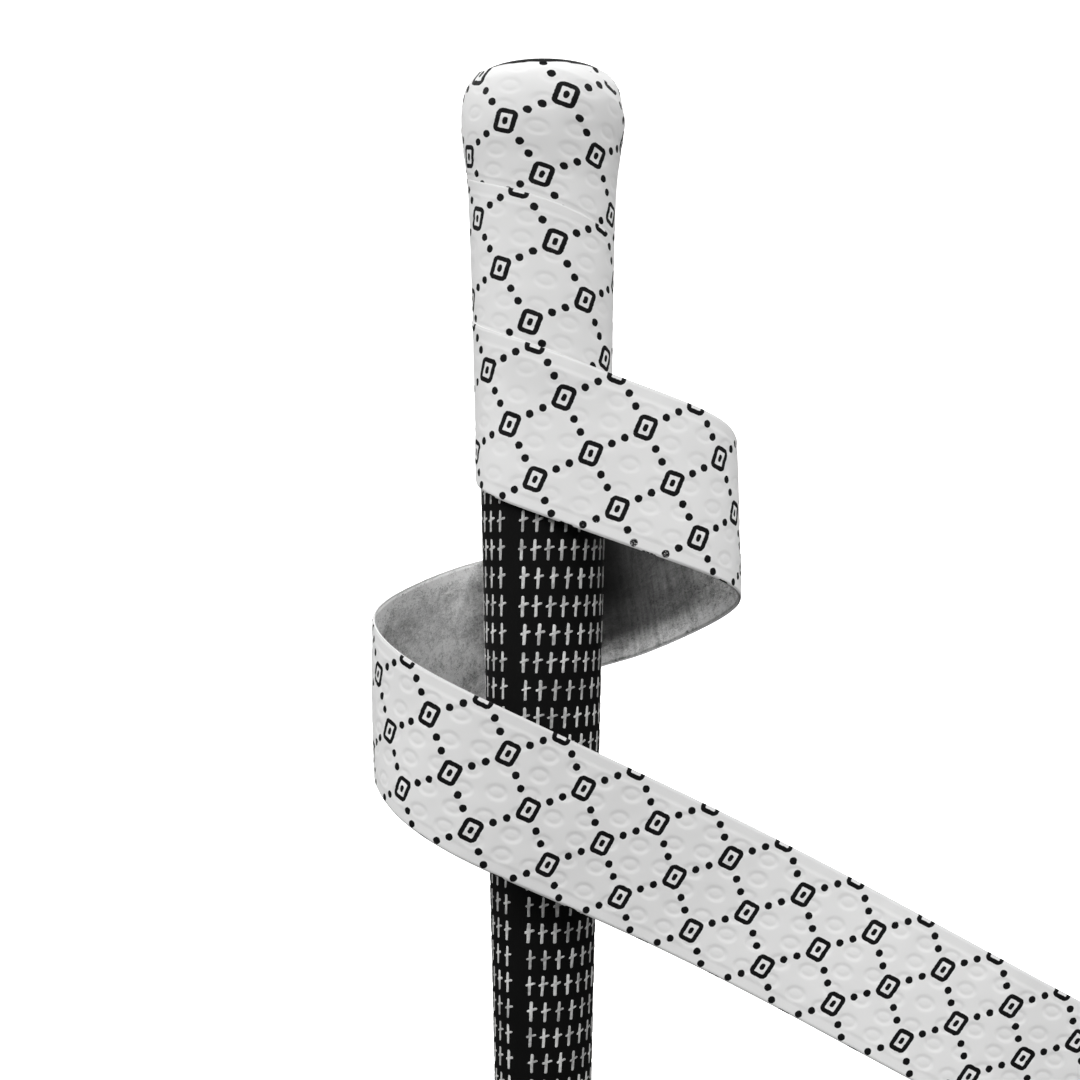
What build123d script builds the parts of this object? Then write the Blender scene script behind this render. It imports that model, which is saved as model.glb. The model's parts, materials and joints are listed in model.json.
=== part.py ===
from build123d import *
import math
import os

os.makedirs("parts", exist_ok=True)

# ---------------------------------------------------------------- dimensions
# Row frame: +Z up along the grip, butt end up, z = 0 at the mouth of the shaft
# bore, -Y towards the side on which the tape crosses over the grip.
# All lengths in millimetres.

GRIP_LENGTH = 267.0          # 10.5 in men's grip, mouth to top of the cap
BORE_R = 7.1                 # straight core bore, 0.56 in
CAP_SEAT_Z = 259.0           # joint face between the sleeve and the butt cap
SPIGOT_LEN = 3.0             # cap spigot, in a socket just above the bore
SOCKET_R = 8.0
SPIGOT_R = 7.96
VENT_R = 1.3                 # vent hole through the cap
MOUTH_CHAMFER = 0.45

# outside of the bare grip: (height, radius)
SLEEVE_PROFILE = [
    (0.0, 8.42), (12.0, 8.43), (35.0, 8.50), (62.0, 8.66), (90.0, 8.96),
    (120.0, 9.50), (155.0, 10.14), (189.0, 10.76), (220.0, 11.33),
    (243.0, 11.75), (248.0, 11.95), (251.0, 12.25), (254.0, 12.67),
    (256.5, 12.93), (259.0, 13.0),
]
CAP_PROFILE = [
    (259.0, 13.0), (261.0, 12.88), (263.0, 12.55), (264.6, 12.0),
    (265.8, 11.2), (266.5, 10.2), (266.9, 8.8), (267.0, 7.0),
]
CAP_DISH_R = 5.2             # shallow dish round the vent hole
CAP_DISH_DEPTH = 0.5

# overgrip tape: printed polyurethane face on a felt backing
TAPE_WIDTH = 26.0
FELT_IN = 0.25               # distance of the felt's inside from the rubber
FELT_OUT = 0.55              # felt to face boundary
FACE_OUT = 0.80              # printed outside of the tape
TURN_GAP = 0.30              # slit left between neighbouring turns
HALF_UP = 13.6               # half width measured up the grip, tape on the slant
TOP_LIMIT = 265.0            # upper edge of the first turn, on the cap's shoulder

# centre line of the wound tape: (angle in turns, height, slope mm per radian)
# angle 0 is the front of the grip (-Y), counter-clockwise seen from the butt
WOUND = [(-2.80, 267.9, -0.6), (-2.0, 255.1, -4.15), (-1.0, 231.2, -4.19), (0.0, 206.65, -4.30)]

# centre line of the loose tape: x, y, z, heading and slope in degrees,
# every 10 mm along the tape from the front of the grip to the free end
LOOSE = [
    (0.0, -12.05, 206.6, 0, 19.4), (9.5, -12.05, 203.3, 0, 19.4),
    (18.9, -11.6, 200.0, 6, 19.4), (28.0, -9.2, 196.7, 27, 19.4),
    (34.0, -2.8, 193.3, 69, 19.3), (34.3, 6.6, 190.1, 101, 18.9),
    (31.0, 15.4, 186.9, 114, 18.2), (26.9, 24.0, 183.8, 116, 17.1),
    (22.8, 32.7, 181.0, 114, 15.6), (18.8, 41.5, 178.5, 117, 13.7),
    (13.4, 49.5, 176.3, 138, 11.7), (4.8, 54.0, 174.4, 170, 9.7),
    (-4.9, 53.0, 172.9, 201, 7.9), (-12.5, 47.0, 171.6, 232, 6.6),
    (-17.1, 38.2, 170.5, 249, 6.1), (-20.3, 28.7, 169.5, 251, 6.7),
    (-23.4, 19.3, 168.1, 251, 8.7), (-26.6, 10.0, 166.3, 252, 12.1),
    (-29.2, 0.8, 163.9, 260, 16.1), (-29.2, -8.6, 160.8, 281, 19.9),
    (-25.5, -17.0, 157.1, 308, 23.0), (-18.5, -22.6, 153.1, 336, 24.9),
    (-9.9, -24.1, 148.8, 361, 25.8), (-1.2, -22.4, 144.4, 374, 26.1),
    (7.4, -19.6, 140.0, 377, 26.3), (16.1, -17.0, 135.5, 375, 26.6),
    (24.8, -14.9, 131.0, 371, 27.0), (33.5, -13.4, 126.4, 368, 27.6),
    (42.1, -12.3, 121.7, 367, 28.3), (50.9, -11.4, 117.0, 366, 28.8),
    (59.6, -10.6, 112.1, 366, 29.1), (68.2, -9.7, 107.2, 366, 29.0),
    (76.9, -8.7, 102.3, 367, 28.8), (85.6, -7.6, 97.5, 367, 28.5),
    (94.3, -6.5, 92.7, 367, 28.5), (103.0, -5.4, 88.0, 367, 28.5),
    (111.7, -4.3, 83.2, 367, 28.5), (122.2, -3.0, 77.5, 367, 28.5),
]
TAIL_FROM = 23               # station where the loose loop becomes the tail


# ---------------------------------------------------------------- helpers
def bare_radius(z):
    """Radius of the bare grip at height z, a smooth curve through the profile."""
    pts = SLEEVE_PROFILE + CAP_PROFILE[1:]
    n = len(pts)
    if z <= pts[0][0]:
        return pts[0][1]
    if z >= pts[-1][0]:
        return pts[-1][1]
    i = max(k for k in range(n - 1) if pts[k][0] <= z)
    (z0, r0), (z1, r1) = pts[i], pts[i + 1]
    h = z1 - z0
    d = (r1 - r0) / h

    def slope(k):
        if k == 0 or k == n - 1:
            return (pts[1][1] - pts[0][1]) / (pts[1][0] - pts[0][0]) if k == 0 else d
        a = (pts[k][1] - pts[k - 1][1]) / (pts[k][0] - pts[k - 1][0])
        b = (pts[k + 1][1] - pts[k][1]) / (pts[k + 1][0] - pts[k][0])
        return 0.5 * (a + b)

    f = (z - z0) / h
    return (
        (2 * f**3 - 3 * f**2 + 1) * r0 + (f**3 - 2 * f**2 + f) * h * slope(i)
        + (3 * f**2 - 2 * f**3) * r1 + (f**3 - f**2) * h * slope(i + 1)
    )


def wound_height(turn):
    """Height of the tape's centre line at an angle given in turns."""
    if turn >= 0.0:
        return WOUND[-1][1] + WOUND[-1][2] * 2 * math.pi * turn
    for (t0, z0, s0), (t1, z1, s1) in zip(WOUND, WOUND[1:]):
        if turn <= t1:
            h = (t1 - t0) * 2 * math.pi
            f = (turn - t0) / (t1 - t0)
            return (
                (2 * f**3 - 3 * f**2 + 1) * z0 + (f**3 - 2 * f**2 + f) * h * s0
                + (3 * f**2 - 2 * f**3) * z1 + (f**3 - f**2) * h * s1
            )
    return WOUND[-1][1]


def wound_edges(turn):
    """Lower and upper edge of the tape at an angle, clear of the next turn."""
    zc = wound_height(turn)
    top = min(zc + HALF_UP, TOP_LIMIT)
    free = zc - HALF_UP - 0.2
    covered = wound_height(turn + 1.0) + HALF_UP + TURN_GAP
    if turn <= -1.0 + 0.10:
        low = covered
    elif turn >= -1.0 + 0.18:
        low = free
    else:
        f = (turn + 0.90) / 0.08
        low = covered * (1 - f) + free * f
    return low, top


def radial_plane(turn):
    """Plane through the grip's axis at an angle: x outwards, y down the grip."""
    a = turn * 2 * math.pi
    return Plane(
        origin=(0, 0, 0),
        x_dir=(math.sin(a), -math.cos(a), 0),
        z_dir=(math.cos(a), math.sin(a), 0),
    )


def wound_section(turn, inner, outer, steps=7):
    """Closed outline of one ply in its radial plane, following the rubber."""
    low, top = wound_edges(turn)
    zs = [low + (top - low) * (1 - (1 - i / steps) ** 1.5) for i in range(steps + 1)]
    side_in = [(bare_radius(z) + inner, -z) for z in zs]
    side_out = [(bare_radius(z) + outer, -z) for z in reversed(zs)]
    return side_in + side_out


def station_plane(station):
    """Upright plane across the loose tape: x to the printed side, y down."""
    x, y, z, heading, slope = station
    a = math.radians(heading)
    return Plane(
        origin=(x, y, z),
        x_dir=(math.sin(a), -math.cos(a), 0),
        z_dir=(math.cos(a), math.sin(a), 0),
    )


def loose_stations(first, last):
    """Stations every 5 mm between two entries of the centre-line table."""
    out = []
    for i in range(first, last):
        p = [LOOSE[max(i - 1, 0)], LOOSE[i], LOOSE[i + 1], LOOSE[min(i + 2, len(LOOSE) - 1)]]
        out.append(p[1])
        out.append(tuple((9 * (b + c) - (a + d)) / 16 for a, b, c, d in zip(*p)))
    out.append(LOOSE[last])
    return out


def station_outline(station, inner, outer):
    """Upright rectangle of one ply, measured from the printed outside."""
    half = TAPE_WIDTH / 2 / math.cos(math.radians(station[4]))
    a, b = inner - FACE_OUT, outer - FACE_OUT
    return [(a, -half), (b, -half), (b, half), (a, half)]


N_WOUND = 72
WOUND_TURNS = [WOUND[0][0] + (0.0 - WOUND[0][0]) * i / N_WOUND for i in range(N_WOUND + 1)]
LOOP = loose_stations(0, TAIL_FROM)
TAIL = loose_stations(TAIL_FROM, len(LOOSE) - 1)
RUN = 6                      # stations lofted in one run, joined end to end


WALL_Z = [MOUTH_CHAMFER] + [12.0 * i for i in range(1, 20)] + [240.0 + i for i in range(0, 20)]
FLARE_Z = [CAP_SEAT_Z + 0.4 * i for i in range(0, 18)]  # up to 265.8

# ---------------------------------------------------------------- rubber grip
# Moulded rubber sleeve: a tapered tube with a straight core bore.
with BuildPart() as grip_sleeve:
    with BuildSketch(Plane.XZ) as sleeve_half:
        with BuildLine():
            wall = Spline([(bare_radius(z), z) for z in WALL_Z])
            Polyline(
                (bare_radius(CAP_SEAT_Z), CAP_SEAT_Z), (SOCKET_R, CAP_SEAT_Z),
                (SOCKET_R, CAP_SEAT_Z - SPIGOT_LEN), (BORE_R, CAP_SEAT_Z - SPIGOT_LEN),
                (BORE_R, 0), (8.42 - MOUTH_CHAMFER, 0), (bare_radius(MOUTH_CHAMFER), MOUTH_CHAMFER),
            )
        make_face()
    revolve(axis=Axis.Z)
grip_sleeve.part.label = "grip_sleeve"
export_step(grip_sleeve.part, "parts/grip_sleeve.step")

# Butt cap: separately moulded, bonded on the end, with a spigot in the socket,
# a shallow dish and the vent hole that lets air out when a shaft goes in.
with BuildPart() as butt_cap:
    with BuildSketch(Plane.XZ) as cap_half:
        with BuildLine():
            flare = Spline([(bare_radius(z), z) for z in FLARE_Z])
            dome = Spline([(r, z) for z, r in CAP_PROFILE[4:]])
            Polyline(
                (7.0, 267.0), (CAP_DISH_R, 267.0), (CAP_DISH_R - 0.6, 267.0 - CAP_DISH_DEPTH),
                (0, 267.0 - CAP_DISH_DEPTH), (0, CAP_SEAT_Z - SPIGOT_LEN),
                (SPIGOT_R, CAP_SEAT_Z - SPIGOT_LEN), (SPIGOT_R, CAP_SEAT_Z), (bare_radius(CAP_SEAT_Z), CAP_SEAT_Z),
            )
        make_face()
    revolve(axis=Axis.Z)
    with Locations(Plane.XY.offset(GRIP_LENGTH)):
        Hole(radius=VENT_R)
butt_cap.part.label = "butt_cap"
export_step(butt_cap.part, "parts/butt_cap.step")

# Starter tab: the thin adhesive patch that holds the beginning of the tape on
# the flare, under the first turn.
with BuildPart() as start_tab:
    tab_z = [256.9 + 0.5 * i for i in range(15)]
    with BuildSketch(radial_plane(-2.44)):
        with BuildLine():
            Polyline(
                *[(bare_radius(z) + 0.02, -z) for z in tab_z],
                *[(bare_radius(z) + 0.08, -z) for z in reversed(tab_z)],
                close=True,
            )
        make_face()
    revolve(axis=Axis.Z, revolution_arc=85)
start_tab.part.label = "start_tab"
export_step(start_tab.part, "parts/start_tab.step")

# ---------------------------------------------------------------- wound tape
with BuildPart() as wound_felt:
    for first in range(0, len(WOUND_TURNS) - 1, RUN):
        for turn in WOUND_TURNS[first : first + RUN + 1]:
            with BuildSketch(radial_plane(turn)):
                with BuildLine():
                    Polyline(*wound_section(turn, FELT_IN, FELT_OUT), close=True)
                make_face()
        loft(ruled=True)
wound_felt.part.label = "wound_felt"
export_step(wound_felt.part, "parts/wound_felt.step")

with BuildPart() as wound_face:
    for first in range(0, len(WOUND_TURNS) - 1, RUN):
        for turn in WOUND_TURNS[first : first + RUN + 1]:
            with BuildSketch(radial_plane(turn)):
                with BuildLine():
                    Polyline(*wound_section(turn, FELT_OUT, FACE_OUT), close=True)
                make_face()
        loft(ruled=True)
wound_face.part.label = "wound_face"
export_step(wound_face.part, "parts/wound_face.step")

# ---------------------------------------------------------------- loose loop
with BuildPart() as loop_felt:
    for first in range(0, len(LOOP) - 1, RUN):
        for station in LOOP[first : first + RUN + 1]:
            with BuildSketch(station_plane(station)):
                with BuildLine():
                    Polyline(*station_outline(station, FELT_IN, FELT_OUT), close=True)
                make_face()
        loft(ruled=True)
loop_felt.part.label = "loop_felt"
export_step(loop_felt.part, "parts/loop_felt.step")

with BuildPart() as loop_face:
    for first in range(0, len(LOOP) - 1, RUN):
        for station in LOOP[first : first + RUN + 1]:
            with BuildSketch(station_plane(station)):
                with BuildLine():
                    Polyline(*station_outline(station, FELT_OUT, FACE_OUT), close=True)
                make_face()
        loft(ruled=True)
loop_face.part.label = "loop_face"
export_step(loop_face.part, "parts/loop_face.step")

# ---------------------------------------------------------------- free tail
with BuildPart() as tail_felt:
    for first in range(0, len(TAIL) - 1, RUN):
        for station in TAIL[first : first + RUN + 1]:
            with BuildSketch(station_plane(station)):
                with BuildLine():
                    Polyline(*station_outline(station, FELT_IN, FELT_OUT), close=True)
                make_face()
        loft(ruled=True)
tail_felt.part.label = "tail_felt"
export_step(tail_felt.part, "parts/tail_felt.step")

with BuildPart() as tail_face:
    for first in range(0, len(TAIL) - 1, RUN):
        for station in TAIL[first : first + RUN + 1]:
            with BuildSketch(station_plane(station)):
                with BuildLine():
                    Polyline(*station_outline(station, FELT_OUT, FACE_OUT), close=True)
                make_face()
        loft(ruled=True)
tail_face.part.label = "tail_face"
export_step(tail_face.part, "parts/tail_face.step")
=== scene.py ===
"""Looks of a tapered golf grip with a patterned overgrip tape, part wound on, part loose."""

import json
import math

import bpy
import numpy as np
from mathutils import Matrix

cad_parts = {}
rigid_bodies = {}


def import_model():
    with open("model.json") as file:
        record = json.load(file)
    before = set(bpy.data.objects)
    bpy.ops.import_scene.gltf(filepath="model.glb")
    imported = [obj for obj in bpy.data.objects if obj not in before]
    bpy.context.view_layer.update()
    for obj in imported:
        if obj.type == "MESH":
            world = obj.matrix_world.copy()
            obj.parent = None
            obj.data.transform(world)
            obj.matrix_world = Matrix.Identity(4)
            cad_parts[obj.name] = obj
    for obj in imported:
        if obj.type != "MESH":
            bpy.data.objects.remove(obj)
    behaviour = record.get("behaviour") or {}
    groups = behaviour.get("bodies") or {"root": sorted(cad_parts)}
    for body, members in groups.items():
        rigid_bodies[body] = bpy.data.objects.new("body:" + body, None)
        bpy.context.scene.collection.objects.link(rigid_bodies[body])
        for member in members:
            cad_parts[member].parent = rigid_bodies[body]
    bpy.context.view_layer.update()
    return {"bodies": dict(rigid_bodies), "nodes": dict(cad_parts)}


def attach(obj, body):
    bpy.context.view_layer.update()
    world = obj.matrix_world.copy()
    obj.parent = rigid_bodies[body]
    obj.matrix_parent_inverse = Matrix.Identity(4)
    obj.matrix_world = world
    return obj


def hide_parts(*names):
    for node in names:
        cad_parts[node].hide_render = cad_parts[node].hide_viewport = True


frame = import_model()
rng = np.random.default_rng(7)
MM = 0.001

# ------------------------------------------------------------------ camera
cam_data = bpy.data.cameras.new("camera")
cam = bpy.data.objects.new("camera", cam_data)
bpy.context.collection.objects.link(cam)
cam.location = (-0.00056, -0.28055, 0.189)
cam.rotation_euler = (math.radians(90 - 8.354), 0, 0)
cam_data.sensor_width = 36.0
cam_data.lens = 52.396
cam_data.shift_y = 0.2128
cam_data.clip_start, cam_data.clip_end = 0.01, 50
bpy.context.scene.camera = cam

# ------------------------------------------------------------------ numbers
W = 25.93                     # tape's width, mm
T_TAPE = 0.55                 # tape's thickness
D_IN = 0.22                   # inside of the wound tape from the rubber
PU, PV, U0, V0 = 14.676, 14.242, 8.636, 13.558    # print lattice
U_START, U_CUT, U_END = -222.0, 225.0, 372.0
RINGS = 0.30                  # mesh pitch along the tape

SLEEVE = [
    (0.0, 8.42), (12.0, 8.43), (35.0, 8.50), (62.0, 8.66), (90.0, 8.96),
    (120.0, 9.50), (155.0, 10.14), (189.0, 10.76), (220.0, 11.33),
    (243.0, 11.75), (248.0, 11.95), (251.0, 12.25), (254.0, 12.67),
    (256.5, 12.93), (259.0, 13.0), (261.0, 12.88), (263.0, 12.55), (264.6, 12.0),
    (265.8, 11.2), (266.5, 10.2), (266.9, 8.8), (267.0, 7.0),
]
# wound centre line: (turns, height, slope mm/rad), and (turns, tape length, mm/turn)
WOUND = [(-2.97, 268.4, -0.3), (-2.0, 255.1, -4.15), (-1.0, 231.6, -4.19), (0.0, 206.65, -4.30), (0.4, 195.85, -4.30)]
ALONG = [(-2.97, -222.0, 77.0), (-2.0, -147.35, 76.5), (-1.0, -72.2, 74.9), (0.0, 0.0, 80.6), (0.4, 32.24, 80.6)]
NARROW = [(-2.97, 0.89), (-2.0, 0.89), (-1.0, 0.948), (0.0, 1.0), (0.4, 1.0)]   # a stretched tape gets narrower
SLANT = [(-2.97, 1.0), (-2.5, 10.0), (-2.25, 15.5), (-2.0, 17.44), (-1.0, 18.55), (0.0, 19.6), (0.4, 19.6)]
# loose tape every 5 mm from u = -20: heading, slope (degrees), lean x, lean y
LOOSE = [
    (-86.6, 19.90, 0.001, -0.000), (-62.2, 19.68, 0.007, 0.007), (-38.0, 19.53, 0.011, 0.014), (-17.5, 19.44, 0.012, 0.020),
    (-4.0, 19.39, 0.011, 0.025), (2.8, 19.38, 0.008, 0.030), (4.1, 19.39, 0.004, 0.034), (2.1, 19.41, -0.002, 0.037),
    (2.1, 19.44, -0.008, 0.040), (9.7, 19.45, -0.016, 0.042), (27.0, 19.44, -0.023, 0.043), (49.4, 19.39, -0.030, 0.044),
    (71.3, 19.30, -0.038, 0.044), (89.4, 19.15, -0.044, 0.044), (102.8, 18.93, -0.050, 0.044), (111.0, 18.63, -0.054, 0.043),
    (114.8, 18.23, -0.057, 0.042), (115.9, 17.73, -0.058, 0.040), (116.0, 17.11, -0.056, 0.038), (115.5, 16.39, -0.053, 0.035),
    (114.4, 15.56, -0.048, 0.033), (113.3, 14.67, -0.042, 0.030), (114.9, 13.72, -0.034, 0.027), (122.2, 12.73, -0.027, 0.023),
    (136.1, 11.72, -0.019, 0.020), (153.3, 10.72, -0.011, 0.016), (170.4, 9.73, -0.005, 0.013), (186.0, 8.79, 0.001, 0.009),
    (201.3, 7.93, 0.005, 0.005), (217.3, 7.18, 0.009, 0.001), (232.6, 6.59, 0.011, -0.002), (244.4, 6.20, 0.013, -0.005),
    (250.6, 6.06, 0.014, -0.008), (252.4, 6.20, 0.014, -0.011), (252.3, 6.67, 0.014, -0.013), (252.2, 7.52, 0.013, -0.015),
    (251.8, 8.75, 0.012, -0.017), (250.7, 10.30, 0.011, -0.018), (249.5, 12.10, 0.010, -0.018), (250.9, 14.04, 0.008, -0.019),
    (257.5, 16.06, 0.007, -0.020), (269.2, 18.05, 0.006, -0.022), (282.7, 19.93, 0.005, -0.024), (295.2, 21.62, 0.004, -0.026),
    (306.9, 23.02, 0.004, -0.030), (319.7, 24.10, 0.004, -0.034), (334.9, 24.90, 0.004, -0.039), (350.7, 25.45, 0.005, -0.044),
    (364.1, 25.81, 0.005, -0.049), (373.2, 26.03, 0.007, -0.052), (378.2, 26.15, 0.008, -0.053), (379.8, 26.21, 0.009, -0.053),
    (378.9, 26.28, 0.010, -0.050), (376.8, 26.39, 0.012, -0.044), (374.6, 26.56, 0.013, -0.035), (372.7, 26.78, 0.014, -0.023),
    (371.0, 27.04, 0.016, -0.010), (369.3, 27.33, 0.017, 0.005), (367.6, 27.64, 0.019, 0.020), (366.2, 27.95, 0.020, 0.035),
    (365.3, 28.26, 0.022, 0.049), (365.0, 28.55, 0.024, 0.062), (365.1, 28.81, 0.027, 0.073), (365.4, 29.03, 0.029, 0.081),
    (365.9, 29.20, 0.032, 0.087), (366.4, 29.31, 0.035, 0.088), (366.9, 29.34, 0.038, 0.085), (367.2, 29.29, 0.042, 0.077),
    (367.4, 29.14, 0.046, 0.064), (367.5, 28.88, 0.051, 0.044), (367.5, 28.50, 0.056, 0.017), (367.5, 28.50, 0.056, 0.017),
    (367.5, 28.50, 0.056, 0.017), (367.2, 28.50, 0.056, 0.017), (367.0, 28.50, 0.056, 0.017), (367.0, 28.50, 0.056, 0.017),
    (367.0, 28.50, 0.056, 0.017), (367.0, 28.50, 0.056, 0.017), (367.0, 28.50, 0.056, 0.017), (367.0, 28.50, 0.056, 0.017),
]


def hermite(rows, t):
    """Cubic through (t, value, slope) rows."""
    t = np.asarray(t, float)
    out = np.zeros_like(t)
    for (a, ya, sa), (b, yb, sb) in zip(rows, rows[1:]):
        m = (t >= a) & (t <= b) if rows[0][0] == a else (t > a) & (t <= b)
        h, f = b - a, (t - a) / (b - a)
        y = (2 * f**3 - 3 * f**2 + 1) * ya + (f**3 - 2 * f**2 + f) * h * sa + (3 * f**2 - 2 * f**3) * yb + (f**3 - f**2) * h * sb
        out = np.where(m, y, out)
    out = np.where(t < rows[0][0], rows[0][1] + (t - rows[0][0]) * rows[0][2], out)
    return np.where(t > rows[-1][0], rows[-1][1] + (t - rows[-1][0]) * rows[-1][2], out)


def catmull(tab, x0, h, x):
    tab = np.asarray(tab, float)
    t = (np.asarray(x, float) - x0) / h
    i = np.clip(np.floor(t).astype(int), 0, len(tab) - 2)
    f = np.clip(t - i, 0, 1)
    p0, p1, p2, p3 = tab[np.maximum(i - 1, 0)], tab[i], tab[i + 1], tab[np.minimum(i + 2, len(tab) - 1)]
    return p1 + 0.5 * f * (p2 - p0 + f * (2 * p0 - 5 * p1 + 4 * p2 - p3 + f * (3 * (p1 - p2) + p3 - p0)))


def step(a, b, x):
    f = np.clip((np.asarray(x, float) - a) / (b - a), 0, 1)
    return f * f * (3 - 2 * f)


def smooth_noise(x, y, scale, seed):
    """Soft value noise on a grid, seeded."""
    g = np.random.default_rng(seed).standard_normal((64, 64))
    a, b = np.asarray(x) / scale, np.asarray(y) / scale
    i, j = np.floor(a).astype(int), np.floor(b).astype(int)
    fa, fb = a - i, b - j
    fa, fb = fa * fa * (3 - 2 * fa), fb * fb * (3 - 2 * fb)
    q = lambda m, n: g[(i + m) % 64, (j + n) % 64]
    return (q(0, 0) * (1 - fa) + q(1, 0) * fa) * (1 - fb) + (q(0, 1) * (1 - fa) + q(1, 1) * fa) * fb


# ------------------------------------------------------------------ rubber outline
_z = np.array([p[0] for p in SLEEVE])
_r = np.array([p[1] for p in SLEEVE])
_s = np.gradient(_r, _z)
_rows = list(zip(_z, _r, _s))
_rows[-1] = (_z[-1], _r[-1], (_r[-1] - _r[-2]) / (_z[-1] - _z[-2]) )


def bare_radius(z):
    return hermite(_rows[:-1], np.minimum(z, 266.9))


# the grip's outline from z = 150 up, over the shoulder, as a smooth path by length
_pz = np.concatenate([np.arange(150, 264.6, 0.2)])
_path = np.stack([bare_radius(_pz), _pz], 1)
_top = np.array([(12.0, 264.6), (11.65, 265.25), (11.2, 265.8), (10.7, 266.22), (10.2, 266.5), (9.6, 266.72), (8.8, 266.88), (8.0, 266.95), (7.0, 267.0)])
_path = np.concatenate([_path[:-1], _top])
for _ in range(3):
    _d = np.concatenate([[0], np.cumsum(np.hypot(*np.diff(_path, axis=0).T))])
    _q = np.arange(0, _d[-1], 0.1)
    _path = np.stack([np.interp(_q, _d, _path[:, 0]), np.interp(_q, _d, _path[:, 1])], 1)
    k = np.hanning(9)
    k /= k.sum()
    _pad = np.pad(_path, ((4, 4), (0, 0)), mode="edge")
    _sm = np.stack([np.convolve(_pad[:, c], k, "valid") for c in (0, 1)], 1)
    _path[6:-6] = _sm[6:-6]
PL = np.concatenate([[0], np.cumsum(np.hypot(*np.diff(_path, axis=0).T))])
PR, PZ = _path[:, 0], _path[:, 1]
_t = np.gradient(_path, PL, axis=0)
_t /= np.linalg.norm(_t, axis=1)[:, None]
NR, NZ = _t[:, 1], -_t[:, 0]
_k = np.hanning(15) / np.hanning(15).sum()
NR, NZ = [np.convolve(np.pad(a, 7, mode="edge"), _k, "valid") for a in (NR, NZ)]
L_RIM = float(np.interp(265.3, PZ, PL))      # where the tape is trimmed on the shoulder


def length_at(z):
    """Length along the outline of a height; heights past the top run on as length."""
    z = np.asarray(z, float)
    return np.where(z < 262.0, np.interp(z, PZ, PL), np.interp(262.0, PZ, PL) + (z - 262.0))


# ------------------------------------------------------------------ wound tape
def turn_at(u):
    t = np.linspace(-2.97, 0.4, 3371)
    return np.interp(u, hermite(ALONG, t), t)


def slant_at(t):
    return np.radians(np.interp(t, [p[0] for p in SLANT], [p[1] for p in SLANT]))


def narrow_at(t):
    return np.interp(t, [p[0] for p in NARROW], [p[1] for p in NARROW])


def wound_centre(t):
    rows = [(a * 2 * math.pi, b, c) for a, b, c in WOUND]
    return hermite(rows, np.asarray(t) * 2 * math.pi)


def tape_depth(u, v, emboss=True):
    """How far the printed side lies below the tape's full thickness."""
    e = np.minimum(v, W - v)
    d = 0.09 * (1 - step(1.95, 2.30, e)) + 0.05 * np.exp(-(((e - 2.2) / 0.16) ** 2))
    d = d + 0.16 * (1 - step(0.0, 0.45, e)) ** 1.5
    if emboss:
        col = np.round((u - 238.9) / 5.45)
        odd = np.mod(col, 2)
        pitch = np.where(odd > 0.5, 4.57, 3.655)
        n = np.round((v - 3.93) / pitch)
        n = np.clip(n, 0, np.where(odd > 0.5, 4, 5))
        x, y = u - (238.9 + col * 5.45), v - (3.93 + n * pitch)
        a = math.radians(-11)
        xr, yr = x * math.cos(a) + y * math.sin(a), -x * math.sin(a) + y * math.cos(a)
        q = np.sqrt((xr / 1.85) ** 2 + (yr / 1.28) ** 2)
        deep = 1.0 + 0.6 * step(10, 60, u)                  # pulled flat where the tape is wound tight
        d = d + deep * (0.085 * np.exp(-(((q - 0.78) / 0.20) ** 2)) + 0.035 * (1 - step(0.45, 0.8, q)))
    return d + 0.012 * smooth_noise(u, v, 2.3, 3) + 0.02 * smooth_noise(u, v, 7.0, 4)


def wound_surface(u, v, depth):
    """Points of the wound tape: depth is measured inwards from the tape's full thickness."""
    t = turn_at(u)
    al = slant_at(t)
    w = (v - W / 2) * narrow_at(t)
    lc = length_at(wound_centre(t))
    ln = lc - w * np.cos(al)
    rr = np.interp(ln, PL, PR) + 0.8
    rr = np.maximum(rr, 11.0)
    th = 2 * math.pi * t - w * np.sin(al) / rr
    # what lies underneath: the turn before
    tb = th / (2 * math.pi) - 1
    edge = length_at(wound_centre(tb)) - W / 2 * narrow_at(tb) / np.cos(slant_at(tb))
    e = ln - edge
    h = step(-1.8, 0.7, e) * (0.14 + 0.30 * step(0.0, 4.0, e)) * step(-2.99, -2.94, tb)
    low = 0.42 + 0.46 * step(-62, -24, u)               # its own upper edge is pressed down, less so near the loose part
    h = h * (low + (1 - low) * step(0.2, 3.0, v))
    # the ply is pressed thin where it is trimmed on the shoulder
    h = h - 0.30 * step(-2.2, 0.0, ln - L_RIM)
    off = D_IN + T_TAPE + h - depth
    r = np.interp(ln, PL, PR) + off * np.interp(ln, PL, NR)
    z = np.interp(ln, PL, PZ) + off * np.interp(ln, PL, NZ)
    return np.stack([r * np.sin(th) - 0.2 * step(210, 255, z), -r * np.cos(th), z], -1)


# ------------------------------------------------------------------ loose tape
LT = np.array(LOOSE)
UF = np.arange(-20, 375.01, 0.25)
_ps, _al = np.radians(catmull(LT[:, 0], -20, 5, UF)), np.radians(catmull(LT[:, 1], -20, 5, UF))
_run = lambda q: np.concatenate([[0], np.cumsum((q[1:] + q[:-1]) / 2 * 0.25)])
LX, LY, LZ, LS = [_run(q) for q in (np.cos(_ps) * np.cos(_al), np.sin(_ps) * np.cos(_al), -np.sin(_al), np.cos(_al))]
LX, LY, LZ, LS = LX - LX[80], LY - LY[80] - 12.271, LZ - LZ[80] + 206.633, LS - LS[80]
_rx, _ry = catmull(LT[:, 2], -20, 5, UF), catmull(LT[:, 3], -20, 5, UF)
_nk = len(UF)


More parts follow.
